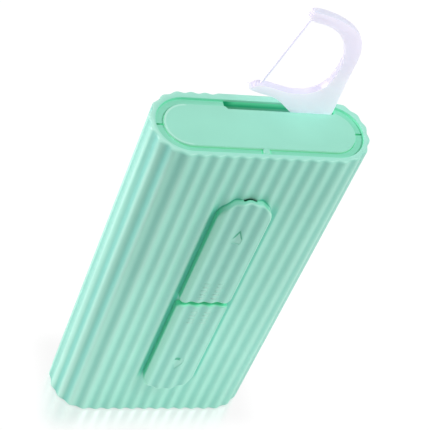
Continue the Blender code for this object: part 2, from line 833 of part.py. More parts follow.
def yoke_outline():
    """Band that follows the case's end from behind the front wall to the rear lane."""
    front = (slide_front + slide_back) / 2
    back = rear_lane
    radius = (back - front) / 2
    height = (back + front) / 2
    centre = half_width - half_depth
    steps = 14
    outer = [(push_bar_left, front - slide_thickness / 2)]
    inner = [(push_bar_left, front + slide_thickness / 2)]
    for step in range(steps + 1):
        turn = math.pi * (step / steps - 0.5)
        ring = Vector((math.cos(turn), math.sin(turn)))
        middle = Vector((centre, height))
        outer.append(tuple(middle + ring * (radius + slide_thickness / 2)))
        inner.append(tuple(middle + ring * (radius - slide_thickness / 2)))
    outer.append((push_bar_left - yoke_overlap, back + slide_thickness / 2))
    inner.append((push_bar_left - yoke_overlap, back - slide_thickness / 2))
    return outer + inner[::-1]


push_yoke = prism_up("push_yoke", yoke_outline(), yoke_bottom, yoke_bottom + yoke_height)
finish(push_yoke, inner_plastic)

# Coil springs


def coil_spring(name, low, high, turns):
    """One unbroken wire wound as a coil, with the gap between its turns printed."""
    bottom = low + spring_wire / 2 + clearance
    top = high - spring_wire / 2 - clearance
    count = turns * points_per_turn
    curve = bpy.data.curves.new(name, "CURVE")
    curve.dimensions = "3D"
    curve.bevel_depth = spring_wire / 2
    curve.bevel_resolution = 1
    curve.use_fill_caps = True
    spline = curve.splines.new("POLY")
    spline.points.add(count)
    for index in range(count + 1):
        turn = 2.0 * math.pi * index / points_per_turn
        across = spring_x + spring_radius * math.cos(turn)
        back = spring_y + spring_radius * math.sin(turn)
        height = bottom + (top - bottom) * index / count
        spline.points[index].co = (across, back, height, 1.0)
    gap = (top - bottom) / turns - spring_wire
    print(f"{name}: least gap between turns {gap / MM:.2f} mm")
    spring = from_curve(name, curve, upright, parts)
    finish(spring, steel_wire, 60.0)
    return spring


return_spring = coil_spring("return_spring", push_high, return_seat_height, return_turns)
release_spring = coil_spring("release_spring", release_seat_height, release_shelf, release_turns)

# Parents on the joints' axes

hang_on([upper_button, push_slider, push_yoke], "upper_slide", (0.0, -button_face, upper_stem_bottom))
hang_on([lower_button, release_slide], "lower_slide", (0.0, -button_face, lower_stem_bottom))
hang_on([top_plate, magazine_frame] + [piece for pick in picks[1:] for piece in pick], "magazine_lift",
        (0.0, 0.0, plate_top))
hang_on([follower_plate], "follower_push", (follower_left, follower_back, follower_bottom))
hang_on(list(picks[0]), "pick_draw", (pick_right, rear_lane, case_height))

for item in parts.objects:
    if item.type == "MESH":
        item.data.calc_loop_triangles()
        print(f"{item.name}: {len(item.data.loop_triangles)} triangles")
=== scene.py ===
"""Dresses the floss pick case: smooth flutes, rounded edges, moulded plastic, light and a camera."""

import math

import bmesh
import bpy
from mathutils import Matrix, Vector


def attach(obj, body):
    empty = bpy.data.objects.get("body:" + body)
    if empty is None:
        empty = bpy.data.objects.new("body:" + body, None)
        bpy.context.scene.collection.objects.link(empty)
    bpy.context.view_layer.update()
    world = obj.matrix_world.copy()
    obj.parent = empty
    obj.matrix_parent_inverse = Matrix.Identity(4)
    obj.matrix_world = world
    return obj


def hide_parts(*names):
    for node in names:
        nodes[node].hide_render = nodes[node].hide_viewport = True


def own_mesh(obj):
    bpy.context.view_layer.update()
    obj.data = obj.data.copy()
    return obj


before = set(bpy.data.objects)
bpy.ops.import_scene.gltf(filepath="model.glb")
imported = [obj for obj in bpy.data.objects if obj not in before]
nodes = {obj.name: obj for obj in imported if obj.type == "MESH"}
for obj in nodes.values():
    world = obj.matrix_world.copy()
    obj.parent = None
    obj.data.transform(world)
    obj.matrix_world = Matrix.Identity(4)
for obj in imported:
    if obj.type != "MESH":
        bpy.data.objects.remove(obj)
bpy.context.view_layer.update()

MM = 0.001

# Sizes of the case, as in the solids
case_height = 88.0 * MM
half_width = 21.95 * MM
half_depth = 7.76 * MM
wall = 1.31 * MM
floor_thickness = 1.3 * MM
seam_gap = 0.34 * MM
fine_gap = 0.02 * MM
plate_gap = 0.17 * MM
end_gap = 0.05 * MM
edge_fillet = 0.5 * MM
flute_depth = 0.34 * MM
flute_guide_inset = 0.9 * MM
flutes_per_quarter = 9
smooth_strip_flutes = 2.5
ring_top = 87.4 * MM
ring_bottom = 86.3 * MM
plate_half_width = 19.04 * MM
plate_half_depth = 4.95 * MM
plate_top = 87.83 * MM
plate_bottom = 86.38 * MM
clearance = 0.3 * MM
slot_left = -6.28 * MM
slot_right = 15.95 * MM
slot_front = 4.42 * MM
button_half_width = 5.53 * MM
button_arch = 5.3 * MM
upper_far_end = 76.1 * MM

middle = half_width - half_depth
inner_half_width = half_width - wall
inner_half_depth = half_depth - wall
quarter = middle + (half_depth - flute_guide_inset) * math.pi / 2
pitch = quarter / flutes_per_quarter

# Colours
mint = (0.35, 0.77, 0.622)
plate_mint = (0.305, 0.72, 0.563)
mint_inner = (0.08, 0.72, 0.38)
# Painted deep shade in recesses and gaps, painted highlight on edges and crests, and painted glow in gaps
deep_shade_green = (0.012, 0.52, 0.25)
highlight_mint = (0.60, 0.92, 0.80)
wall_glow = (0.04, 0.36, 0.15)
button_mint = (0.325, 0.715, 0.58)
# Painted shade beside the buttons' channel
channel_shade = (0.08, 0.59, 0.43)
button_left_mint = (0.28, 0.69, 0.525)
# Painted shadow under the arrows' upper edges
arrow_shade = (0.05, 0.43, 0.26)
white = (1.0, 1.0, 1.0)

# How far right of a flute's valley its deepest painted shade lies
tone_shift = 0.25 * MM


# Shader tools

class Field:
    """A value inside a material or the world, which sums, differences and products can be written with."""

    def __init__(self, graph, socket):
        self.graph = graph
        self.socket = socket

    def math(self, operation, *others):
        """Combine this number with others."""
        return self.graph.math(operation, self, *others)

    def __add__(self, other):
        return self.math("ADD", other)

    __radd__ = __add__

    def __sub__(self, other):
        return self.math("SUBTRACT", other)

    def __rsub__(self, other):
        return self.graph.math("SUBTRACT", other, self)

    def __mul__(self, other):
        return self.math("MULTIPLY", other)

    __rmul__ = __mul__

    def between(self, low, high):
        """Rise smoothly from 0 at low to 1 at high."""
        return self.graph.node("ShaderNodeMapRange", 0, {"Value": self, "From Min": low, "From Max": high},
                               interpolation_type="SMOOTHSTEP")

    def within(self, low, full, still_full, high):
        """Rise smoothly from 0 at low to 1 at full, and fall from 1 at still_full to 0 at high."""
        return self.between(low, full) * self.between(high, still_full)


class Graph:
    """Adds nodes to a material or to the world."""

    def __init__(self, owner):
        owner.use_nodes = True
        self.tree = owner.node_tree

    def feed(self, socket, value):
        """Set a socket to a value or link it."""
        if isinstance(value, Field):
            self.tree.links.new(value.socket, socket)
        elif isinstance(value, tuple) and len(value) == 3 and len(socket.default_value) == 4:
            socket.default_value = (*value, 1.0)
        else:
            socket.default_value = value

    def node(self, kind, output, inputs=(), **settings):
        """Add a node with its settings and inputs, and give back one of its outputs."""
        made = self.tree.nodes.new(kind)
        for key, value in settings.items():
            setattr(made, key, value)
        for key, value in dict(inputs).items():
            self.feed(made.inputs[key], value)
        return Field(self, made.outputs[output])

    def math(self, operation, *values):
        """Combine numbers of which one or more are fields."""
        return self.node("ShaderNodeMath", 0, enumerate(values), operation=operation)


class Builder(Graph):
    """Makes one material out of nodes."""

    def __init__(self, name, colour, roughness):
        self.material = bpy.data.materials.new(name)
        super().__init__(self.material)
        self.surface = self.tree.nodes["Principled BSDF"]
        self.set("Base Color", colour)
        self.set("Roughness", roughness)
        self.material.diffuse_color = (*colour, 1.0)

    def axis(self, name, kind="Object"):
        """One coordinate of the position on the object in metres, or of another kind such as Normal."""
        return self.node("ShaderNodeSeparateXYZ", name, {"Vector": self.node("ShaderNodeTexCoord", kind)})

    def tone(self, name):
        """One of the tones that a mesh holds at its points."""
        return self.node("ShaderNodeAttribute", "Fac", attribute_name=name)

    def noise(self, scale, detail=2.0, roughness=0.5):
        """Smooth random field from 0 to 1."""
        inputs = {"Vector": self.node("ShaderNodeTexCoord", "Object"), "Scale": scale, "Detail": detail,
                  "Roughness": roughness}
        return self.node("ShaderNodeTexNoise", 0, inputs)

    def blend(self, share, first, second):
        """Colour between two colours."""
        return self.node("ShaderNodeMix", 2, {0: share, 6: first, 7: second}, data_type="RGBA")

    def bump(self, height, strength, distance, below=None):
        """Relief from a height field, on top of another relief."""
        inputs = {"Height": height, "Strength": strength, "Distance": distance}
        if below:
            inputs["Normal"] = below
        return self.node("ShaderNodeBump", 0, inputs)

    def set(self, name, value):
        """Set or link one of the surface's inputs."""
        self.feed(self.surface.inputs[name], value)

    def held(self, name):
        """What one of the surface's inputs is linked to so far."""
        return Field(self, self.surface.inputs[name].links[0].from_socket)


def shade(colour, factor):
    """A colour made darker or lighter."""
    return tuple(min(1.0, part * factor) for part in colour)


def moulded(name, colour, roughness, valley=0.0):
    """Moulded plastic with a fine satin grain, faint clouding, painted shade in flutes and recesses, a
    painted highlight and a painted glow.
    """
    made = Builder(name, colour, roughness)
    cloud = made.noise(90.0, 3.0).between(0.3, 0.7)
    tone = made.blend(cloud, shade(colour, 0.975), shade(colour, 1.02))
    # Painted shade in flutes, painted deep shade in recesses and gaps, a painted highlight on edges and
    # crests, and a painted glow in gaps, from the tones that meshes hold
    if valley:
        low = (colour[0] * 0.5, colour[1] * 0.73, colour[2] * 0.74)
        tone = made.blend(made.tone("soft_shade") * valley, tone, low)
    tone = made.blend(made.tone("recess"), tone, deep_shade_green)
    made.set("Base Color", made.blend(made.tone("edge"), tone, highlight_mint))
    made.set("Emission Color", made.blend(made.tone("glow"), (0.0, 0.0, 0.0), wall_glow))
    made.set("Emission Strength", 1.0)
    made.set("Roughness", made.noise(400.0) * 0.06 + (roughness - 0.03))
    made.set("Normal", made.bump(made.noise(5200.0, roughness=0.6), 0.12, 0.02 * MM))
    return made


def shell_material():
    """Shell plastic with painted shade beside the channel that the buttons slide along, and along the upper
    button's bowed end.
    """
    made = moulded("shell_plastic", mint, 0.40, 0.6)
    x = made.axis("X")
    z = made.axis("Z")
    # Painted shade beside the buttons' sides
    left = x.within(-6.85 * MM, -6.2 * MM, -5.5 * MM, -5.3 * MM)
    right = x.within(5.3 * MM, 5.5 * MM, 6.45 * MM, 6.9 * MM) * 0.8
    length = z.within(12.2 * MM, 15.2 * MM, 71.0 * MM, 75.0 * MM)
    front = made.axis("Y").between(-6.8 * MM, -7.1 * MM)
    # Painted shade just above the upper button's bowed end
    arch = (1.0 - x * x * (1.0 / button_half_width ** 2)).math("SQRT") * button_arch
    above = z - arch - (upper_far_end - button_arch)
    shoulder = x.math("ABSOLUTE").within(1.6 * MM, 2.4 * MM, 5.2 * MM, 5.5 * MM)
    arch_shade = above.within(-1.0 * MM, -0.5 * MM, 0.1 * MM, 0.6 * MM) * shoulder * 0.9
    share = ((left + right) * length + arch_shade).math("MINIMUM", 1.0) * front * 0.85
    made.set("Base Color", made.blend(share, made.held("Base Color"), channel_shade))
    return made.material


def plate_material():
    """Plate plastic with a painted highlight along the edge of its left end."""
    made = moulded("plate_plastic", plate_mint, 0.42)
    x = made.axis("X") + (plate_half_width - plate_half_depth)
    y = made.axis("Y")
    inward = plate_half_depth - (x * x + y * y).math("SQRT")
    line = inward.within(0.0, 0.1 * MM, 0.3 * MM, 0.5 * MM) * x.between(0.5 * MM, -0.5 * MM)
    made.set("Base Color", made.blend(line * 0.4, made.held("Base Color"), highlight_mint))
    return made.material


shell_plastic = shell_material()
plate_plastic = plate_material()
inner_plastic = moulded("inner_plastic", mint_inner, 0.5).material
magazine_plastic = moulded("magazine_plastic", mint_inner, 0.45).material


arrow_middle = 0.35 * MM
arrow_height = 4.2 * MM
arrow_head_height = 2.6 * MM
arrow_half_width = 1.05 * MM
arrow_half_foot = 0.9 * MM
upper_arrow_tip = 67.9 * MM
lower_arrow_tip = 18.8 * MM
arrow_fade = 0.05 * MM
upper_grip = (44.6 * MM, 50.6 * MM)
lower_grip = (35.6 * MM, 41.6 * MM)
grip_pitch = 1.25 * MM
grip_fade = 0.4 * MM
grip_middle = 0.15 * MM
grip_rib = 1.39 * MM


def arrow_share(x, z, tip, points_up):
    """1 inside an arrow and 0 outside it."""
    down = tip - z if points_up else z - tip
    across = (x - arrow_middle).math("ABSOLUTE")
    head = down * (arrow_half_width / arrow_head_height)
    narrowing = (arrow_half_width - arrow_half_foot) / (arrow_height - arrow_head_height)
    foot = arrow_half_width - (down - arrow_head_height) * narrowing
    reach = head.math("MINIMUM", foot) - across
    length = down.between(arrow_height + arrow_fade, arrow_height - arrow_fade)
    return reach.between(-0.02 * MM, 0.08 * MM) * length


def button_material(name, grip_span, tip, points_up):
    """Button plastic with painted shadow under an arrow's upper edges, and grip lines on two ribs with a
    painted highlight.
    """
    made = moulded(name, button_mint, 0.38, 0.7)
    x = made.axis("X")
    z = made.axis("Z")
    if points_up:
        shade_length = x.between(arrow_middle + 0.2 * MM, arrow_middle - 0.2 * MM) * (0.7 * MM) + 0.7 * MM
        depth = z.between(tip - 3.2 * MM, tip - 2.2 * MM)
    else:
        shade_length = 1.0 * MM
        depth = x.within(-0.6 * MM, -0.35 * MM, 0.5 * MM, 0.85 * MM)
    here = arrow_share(x, z, tip, points_up)
    above = arrow_share(x, z + shade_length, tip, points_up)
    on_left = x.between(-3.6 * MM, -4.6 * MM) * made.axis("Y").between(-8.7 * MM, -8.95 * MM) * 0.85
    tone = made.blend(on_left, made.held("Base Color"), button_left_mint)
    # Painted shadow under the arrow's upper edges
    tone = made.blend(here * (1.0 - above) * depth, tone, arrow_shade)
    across = (x - grip_middle).math("ABSOLUTE") - grip_rib
    on_rib = across.math("ABSOLUTE").between(0.85 * MM, 0.3 * MM)
    low, high = grip_span
    inside = z.within(low, low + grip_fade, high - grip_fade, high)
    wave = (z * (2.0 * math.pi / grip_pitch)).math("SINE").between(0.2, 0.9)
    grip = wave * on_rib * inside
    made.set("Normal", made.bump(grip, 1.0, 0.2 * MM, made.held("Normal")))
    # Painted highlight on the grip lines
    made.set("Base Color", made.blend(grip * 0.3, tone, highlight_mint))
    return made.material


upper_plastic = button_material("upper_button_plastic", upper_grip, upper_arrow_tip, True)
lower_plastic = button_material("lower_button_plastic", lower_grip, lower_arrow_tip, False)


def pick_material():
    """White moulded plastic that lets a little light through, with a painted glow, a painted lighter foot and
    painted shade on faces looking up and faces looking left.
    """
    made = Builder("pick_plastic_white", (0.79, 0.79, 0.89), 0.32)
    cloud = made.noise(120.0).between(0.3, 0.7)
    tone = made.blend(cloud, (0.835, 0.82, 0.93), (0.85, 0.835, 0.945))
    # The foot near the case is painted lighter and glows more, as painted light
    foot = made.axis("Z").between(103.0 * MM, 92.0 * MM)
    # Faces looking up and faces looking left are painted darker, as painted shade
    up_shade = made.axis("Z", "Normal").between(0.2, 0.9)
    left_shade = made.axis("X", "Normal").between(-0.1, -0.7)
    body = made.blend(foot, tone, (0.95, 0.95, 0.99))
    body = made.blend(up_shade, body, (0.66, 0.69, 0.755))
    made.set("Base Color", made.blend(left_shade, body, (0.56, 0.585, 0.65)))
    # Painted glow, stronger at the foot
    made.set("Emission Color", made.blend(foot, (0.075, 0.055, 0.11), (0.12, 0.085, 0.18)))
    made.set("Emission Strength", 1.0)
    made.set("Roughness", made.noise(500.0) * 0.08 + 0.26)
    made.set("Normal", made.bump(made.noise(4200.0), 0.08, 0.02 * MM))
    made.set("Subsurface Weight", 0.5)
    made.set("Subsurface Radius", (1.2, 1.3, 1.4))
    made.set("Subsurface Scale", 1.5 * MM)
    return made.material


def floss_material():
    """Twisted white fibre with a faint painted glow."""
    made = Builder("floss_fibre_white", (0.86, 0.85, 0.95), 0.55)
    twist = (made.axis("Z") * 9000.0 + made.axis("X") * 9000.0).math("SINE")
    made.set("Normal", made.bump(twist, 0.1, 0.005 * MM))
    made.set("Base Color", made.blend(twist.between(-1.0, 1.0), (0.81, 0.80, 0.91), (0.86, 0.85, 0.95)))
    # Painted glow
    made.set("Emission Color", (0.16, 0.15, 0.22))
    made.set("Emission Strength", 1.0)
    return made.material


def steel_material():
    """Bright drawn spring wire."""
    made = Builder("spring_wire_steel", (0.62, 0.63, 0.65), 0.28)
    made.set("Metallic", 1.0)
    made.set("Roughness", made.noise(900.0) * 0.15 + 0.2)
    return made.material


pick_plastic = pick_material()
floss_fibre = floss_material()
steel = steel_material()


# Mesh tools

# Tones that meshes hold: painted soft shade, painted deep shade, painted highlight and painted glow
tone_names = ("soft_shade", "recess", "edge", "glow")
weld_distance = 0.0005 * MM
solid_fillet = 0.12 * MM


def put(name, data):
    """Put an object in the scene."""
    made = bpy.data.objects.new(name, data)
    bpy.context.scene.collection.objects.link(made)
    return made


def piece(name, mesh, body, material, replaced=()):
    """Put a mesh in the scene as a piece that rides on a body and stands for its nodes."""
    made = put(name, mesh)
    mesh.materials.append(material)
    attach(made, body)
    if replaced:
        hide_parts(*replaced)
    return made


def smooth(mesh, angle):
    """Shade a mesh smooth with crisp edges."""
    mesh.shade_smooth()
    mesh.set_sharp_from_angle(angle=math.radians(angle))


def ramp(value, low, high):
    """Rise smoothly from 0 at low to 1 at high."""
    share = min(1.0, max(0.0, (value - low) / (high - low)))
    return share * share * (3.0 - 2.0 * share)


def mark(mesh, rule):
    """Write tones at a mesh's points: the rule turns a place into tones by name."""
    for index, vertex in enumerate(mesh.vertices):
        for name, value in rule(vertex.co).items():
            layer = mesh.attributes.get(name) or mesh.attributes.new(name, "FLOAT", "POINT")
            layer.data[index].value = value


def to_mesh(name, shape):
    """Turn a shape into a mesh whose faces look outward."""
    bmesh.ops.recalc_face_normals(shape, faces=shape.faces)
    mesh = bpy.data.meshes.new(name)
    shape.to_mesh(mesh)
    shape.free()
    return mesh


def settled(holder, *helpers):
    """The mesh that an object ends up with. The object and its helpers are then removed."""
    bpy.context.view_layer.update()
    graph = bpy.context.evaluated_depsgraph_get()
    made = bpy.data.meshes.new_from_object(holder.evaluated_get(graph))
    for spare in (*helpers, holder):
        bpy.data.objects.remove(spare, do_unlink=True)
    return made


def grid_mesh(name, rows, tones):
    """Closed mesh through rows of points with their tones. The last row meets the first."""
    shape = bmesh.new()
    layers = [shape.verts.layers.float.new(tone) for tone in tone_names]
    made = [[shape.verts.new(place) for place in row] for row in rows]
    for first, second in zip(made, made[1:] + made[:1]):
        for place in range(len(first) - 1):
            shape.faces.new((first[place], first[place + 1], second[place + 1], second[place]))
    shape.faces.new([row[0] for row in made])
    shape.faces.new([row[-1] for row in made][::-1])
    for row, marks in zip(made, tones):
        for vertex, values in zip(row, marks):
            for layer, value in zip(layers, values):
                vertex[layer] = value
    bmesh.ops.remove_doubles(shape, verts=shape.verts, dist=weld_distance)
    return to_mesh(name, shape)


def block(name, across, back, up):
    """Plain box as a tool."""
    shape = bmesh.new()
    bmesh.ops.create_cube(shape, size=1.0)
    size = Vector((across[1] - across[0], back[1] - back[0], up[1] - up[0]))
    centre = Vector((across[0] + across[1], back[0] + back[1], up[0] + up[1])) / 2
    bmesh.ops.scale(shape, verts=shape.verts, vec=size)
    bmesh.ops.translate(shape, verts=shape.verts, vec=centre)
    return to_mesh(name, shape)


def prism(name, points, low, high, lift):
    """Outline of pairs carried between two depths: lift turns a pair and a depth into a place."""
    shape = bmesh.new()
    first = [shape.verts.new(lift(a, b, low)) for a, b in points]
    second = [shape.verts.new(lift(a, b, high)) for a, b in points]
    shape.faces.new(first)
    shape.faces.new(second[::-1])
    for index in range(len(points)):
        after = (index + 1) % len(points)
        shape.faces.new((first[index], second[index], second[after], first[after]))
    return to_mesh(name, shape)


def upward(a, b, depth):
    """Outline in X and Y, raised along Z."""
    return (a, b, depth)


def backward(a, b, depth):
    """Outline in X and Z, carried along Y."""
    return (a, depth, b)


def carve(mesh, tools):
    """Cut or join tools into a mesh and give back the result."""
    holder = put("carving", mesh)
    helpers = []
    for tool, operation in tools:
        helper = put("tool", tool)
        step = holder.modifiers.new("step", "BOOLEAN")
        step.object = helper
        step.operation = operation
        step.solver = "EXACT"
        helpers.append(helper)
    return settled(holder, *helpers)


def round_edges(item, width, segments):
    """Round an object's sharp edges."""
    step = item.modifiers.new("rounded_edges", "BEVEL")
    step.width = width
    step.segments = segments
    step.limit_method = "ANGLE"
    step.angle_limit = math.radians(50.0)


def rounded(mesh, width, segments):
    """Round a mesh's sharp edges and give back the result."""
    holder = put("rounding", mesh)
    round_edges(holder, width, segments)
    return settled(holder)


def fillet(radius, steps):
    """Inset and drop of the points along a quarter circle, from an edge's side to its top."""
    turns = [math.pi / 2 * step / steps for step in range(steps + 1)]
    return [(radius * (1.0 - math.cos(turn)), radius * (1.0 - math.sin(turn))) for turn in turns]


def tube_mesh(name, points, radius):
    """Round wire through points."""
    curve = bpy.data.curves.new(name, "CURVE")
    curve.dimensions = "3D"
    curve.bevel_depth = radius
    curve.bevel_resolution = 3
    curve.use_fill_caps = True
    spline = curve.splines.new("POLY")
    spline.points.add(len(points) - 1)
    for place, point in zip(spline.points, points):
        place.co = (*point, 1.0)
    mesh = settled(put(name, curve))
    smooth(mesh, 50.0)
    return mesh


# Shells

points_per_flute = 16
fillet_steps = 5
lip = 0.12 * MM
left_end_trim = 0.03 * MM

# How much deeper the rear half's outside is than the front half's
rear_swell = 1.025


def flute_dip(along, plain=False):
    """How far the surface lies inside the crests, at a place counted in flutes from the front's middle."""
    if plain and abs(along) < smooth_strip_flutes:
        return 0.0
    return flute_depth * (1.0 + math.cos(2.0 * math.pi * along)) / 2


def round_about(along, half_deep, reach):
    """Point on a stadium, at a place counted in flutes: positive runs right from the middle of the front."""
    travel = abs(along) * quarter / flutes_per_quarter
    side = math.copysign(1.0, along)
    straight = reach - half_deep
    if travel <= middle:
        return Vector((side * travel * straight / middle, -half_deep))
    turn = (travel - middle) / (half_depth - flute_guide_inset) - math.pi / 2
    return Vector((side * (straight + half_deep * math.cos(turn)), half_deep * math.sin(turn)))


def shell_mesh(name, side):
    """Half of the case, swept from seam to seam: base, fluted wall, rim, flange, cavity and floor."""
    cavity = (inner_half_depth, inner_half_width)
    core = (0.0, middle)
    rows = []
    marks = []
    for index in range(2 * flutes_per_quarter * points_per_flute + 1):
        along = index / points_per_flute - flutes_per_quarter
        dip = flute_dip(along, side > 0)
        section = []
        tones = []

        def outer(inset, height, tone, highlight_share=0.0):
            """Add a point on the fluted outside, with its painted shade and painted highlight."""
            reach = half_depth - dip - inset
            place = round_about(along, reach, middle + reach)
            if side > 0:
                place.y *= rear_swell
            section.append((place, height, fine_gap))
            tones.append((tone, 0.0, highlight_share * max(0.0, 1.0 - tone), 0.0))

        def inner(outline, out, height, shaded=0.0, lit=0.0, gap=fine_gap, tone=0.0):
            """Add a point that lies out from a plain outline, which is half a depth and half a width, with
            its painted shade and painted glow.
            """
            section.append((round_about(along, outline[0] + out, outline[1] + out), height, gap))
            tones.append((tone, shaded, 0.0, lit))

        # Shares of painted shade, painted highlight and painted glow that change round the case
        left = ramp(-along, 4.5, 7.5)
        right = ramp(along, 5.0, 7.0)
        end = ramp(-along, 5.5, 7.5)
        seam = 0.65 * ramp(abs(along), 8.9, 8.98)
        strip = ramp(-along, 8.65, 8.85)
        # Painted highlight along the crests, stronger on the left
        crest_highlight = ramp(-math.cos(2.0 * math.pi * (along + 0.1)), 0.3, 1.0)
        crest_highlight *= 0.12 + 0.28 * ramp(-along, 4.8, 6.4)
        # Painted shade in the flutes' valleys, a little right of each valley and stronger on the left, and
        # even along the strip by the left seams
        tone = flute_dip(along - tone_shift / pitch, side > 0) / flute_depth * (1.0 + 0.2 * left)
        tone += (0.95 - tone) * strip
        tone *= 1.0 + 0.4 * ramp(-along, 6.2, 7.0) * (1.0 - strip)
        # Painted shade along a valley on the left, near the top
        top_valley_shade = (1.4 - tone) * 0.8 * ramp(-along, 8.05, 8.2) * (1.0 - ramp(-along, 8.25, 8.4))
        # Painted shade on the rim and the flange; on the rear rim it is darkest beside the drawn pick
        if side < 0:
            rim = 0.3 - 0.18 * ramp(abs(along), 4.0, 6.0)
            ledge_shade = 0.35 - 0.1 * ramp(-along, 5.0, 7.0)
        else:
            rim = 0.1 + 0.65 * ramp(along, 3.0, 4.5) * (1.0 - ramp(along, 5.4, 6.4))
            ledge_shade = 0.25 + 0.1 * right
        rim += (0.1 - rim) * ramp(-along, 6.0, 8.5)
        # Painted glow and painted deep shade in the plate's opening, lighter at the left end
        lit = 0.3 + 0.35 * right
        dark = 1.0 - 0.95 * end

        # Base and outside, where the rear rim is rounded less away from the seams
        top_fillet = edge_fillet
        if side > 0:
            top_fillet *= 1.0 - 0.7 * ramp(flutes_per_quarter - abs(along), 0.0, 1.5)
        inner(core, 0.0, 0.0)
        for height, inset in fillet(edge_fillet, fillet_steps):
            outer(inset, height, tone, 0.5 * left)
        for share in (0.25, 0.5, 0.75, 0.9):
            highlight_share = max(strip, crest_highlight, left * max(0.0, 0.4 - share * 0.6))
            outer(0.0, case_height * share, tone + top_valley_shade * ramp(share, 0.7, 0.9), highlight_share)
        for step, (inset, drop) in enumerate(fillet(top_fillet, fillet_steps)):
            share = step / fillet_steps
            high = tone + top_valley_shade
            outer(inset, case_height - drop, high + (rim - high) * share, (0.1 + 0.3 * left) * share)

        # Rim, wall down to the flange, and the flange with the plate's opening, narrower at its left end
        open_width = plate_half_width + end_gap - (left_end_trim if along < 0 else 0.0)
        opening = (plate_half_depth + plate_gap, open_width)
        inner(cavity, lip, case_height, tone=rim)
        inner(cavity, lip * 0.3, case_height - lip * 0.3, 0.1, tone=rim)
        inner(cavity, 0.0, case_height - lip, 0.35 - 0.1 * right, lit * 0.7)
        inner(cavity, 0.0, ring_top + 0.06 * MM, 0.6 - 0.35 * right, lit)
        inner(cavity, 0.0, ring_top, 0.5 - 0.2 * right, lit * 0.5)
        inner(cavity, -0.1 * MM, ring_top, ledge_shade + seam, gap=seam_gap)
        inner(opening, 0.12 * MM, ring_top, ledge_shade + seam, 0.05 * end, seam_gap)
        inner(opening, 0.0, ring_top, 0.6 * dark, 0.4 + 0.35 * end, seam_gap)
        inner(opening, 0.0, ring_top - 0.1 * MM, dark, 0.6, seam_gap)
        inner(opening, 0.0, ring_bottom, dark, 0.6, seam_gap)

        # Cavity and floor, in painted deep shade
        inner(cavity, 0.0, ring_bottom, 1.0, 0.1)
        for height in (85.2 * MM, 80.0 * MM, floor_thickness):
            inner(cavity, 0.0, height, 1.0)
        inner(core, 0.0, floor_thickness, 1.0)
        rows.append([(place.x, -side * min(place.y, -gap / 2), height) for place, height, gap in section])
        marks.append(tones)
    return grid_mesh(name, list(zip(*rows)), list(zip(*marks)))


# What is cut into the shells and joined to them

spring_x = -12.6 * MM
spring_y = -1.2 * MM
spring_radius = 1.75 * MM
spring_wire = 0.5 * MM
stem_half_width = 0.9 * MM
overrun = 1.0 * MM
flange_overrun = 0.2 * MM
keyway_half_width = 0.68 * MM
keyway_rear = -3.0 * MM
keyway_reach = 1.0 * MM
upper_track = (55.7 * MM, 75.85 * MM)
lower_track = (16.7 * MM, 28.3 * MM)
upper_seat = (79.2 * MM, 80.7 * MM)
lower_seat = (5.5 * MM, 7.0 * MM)
seat_reach = 2.4 * MM
upper_peg = (77.2 * MM, 80.0 * MM)
lower_peg = (6.3 * MM, 9.0 * MM)
peg_radius = 1.0 * MM
catch_across = (5.6 * MM, 8.6 * MM)
catch_rear = -5.2 * MM
catch_up = (11.75 * MM, 12.65 * MM)
rest_lefts = (-7.0 * MM, 2.0 * MM)
rest_width = 4.0 * MM
rest_depth = 2.6 * MM
rest_top = 8.7 * MM
in_front_wall = -inner_half_depth - wall / 2
through_flange = (ring_bottom - overrun, ring_top + flange_overrun)
slot_corner = 0.5 * MM

# The dressed slot starts a little further forward than the solid's
notch_front = slot_front - 0.1 * MM


def peg_mesh(low, high):
    """Upright round peg in the middle of a coil spring, as a tool."""
    shape = bmesh.new()
    bmesh.ops.create_cone(shape, cap_ends=True, segments=32, radius1=peg_radius, radius2=peg_radius,
                          depth=high - low)
    bmesh.ops.translate(shape, verts=shape.verts, vec=Vector((spring_x, spring_y, (low + high) / 2)))
    return to_mesh("peg", shape)


keyway = block("keyway", (-keyway_half_width, keyway_half_width), (-inner_half_depth, keyway_rear),
               through_flange)
front_tools = [(keyway, "DIFFERENCE")]
for span in (upper_track, lower_track):
    track = block("track", (-stem_half_width - clearance, stem_half_width + clearance),
                  (-half_depth - overrun, -inner_half_depth + overrun), span)
    front_tools.append((track, "DIFFERENCE"))
for span in (upper_seat, lower_seat):
    seat = block("seat", (spring_x - seat_reach, spring_x + seat_reach),
                 (in_front_wall, spring_y + seat_reach), span)
    front_tools.append((seat, "UNION"))
for low, high in (upper_peg, lower_peg):
    front_tools.append((peg_mesh(low, high), "UNION"))
front_tools.append((block("catch", catch_across, (in_front_wall, catch_rear), catch_up), "UNION"))
rear_tools = []
for left in rest_lefts:
    for tools, back in ((front_tools, (-rest_depth, -clearance)), (rear_tools, (clearance, rest_depth))):
        rest = block("rest", (left, left + rest_width), back, (floor_thickness / 2, rest_top))
        tools.append((rest, "UNION"))
slot_outline = [
    (slot_left, notch_front + slot_corner), (slot_left + slot_corner, notch_front),
    (slot_right - slot_corner, notch_front), (slot_right, notch_front + slot_corner)]
rear_slot = slot_outline + [(slot_right, inner_half_depth), (slot_left, inner_half_depth)]
rear_tools.append((prism("slot", rear_slot, *through_flange, upward), "DIFFERENCE"))


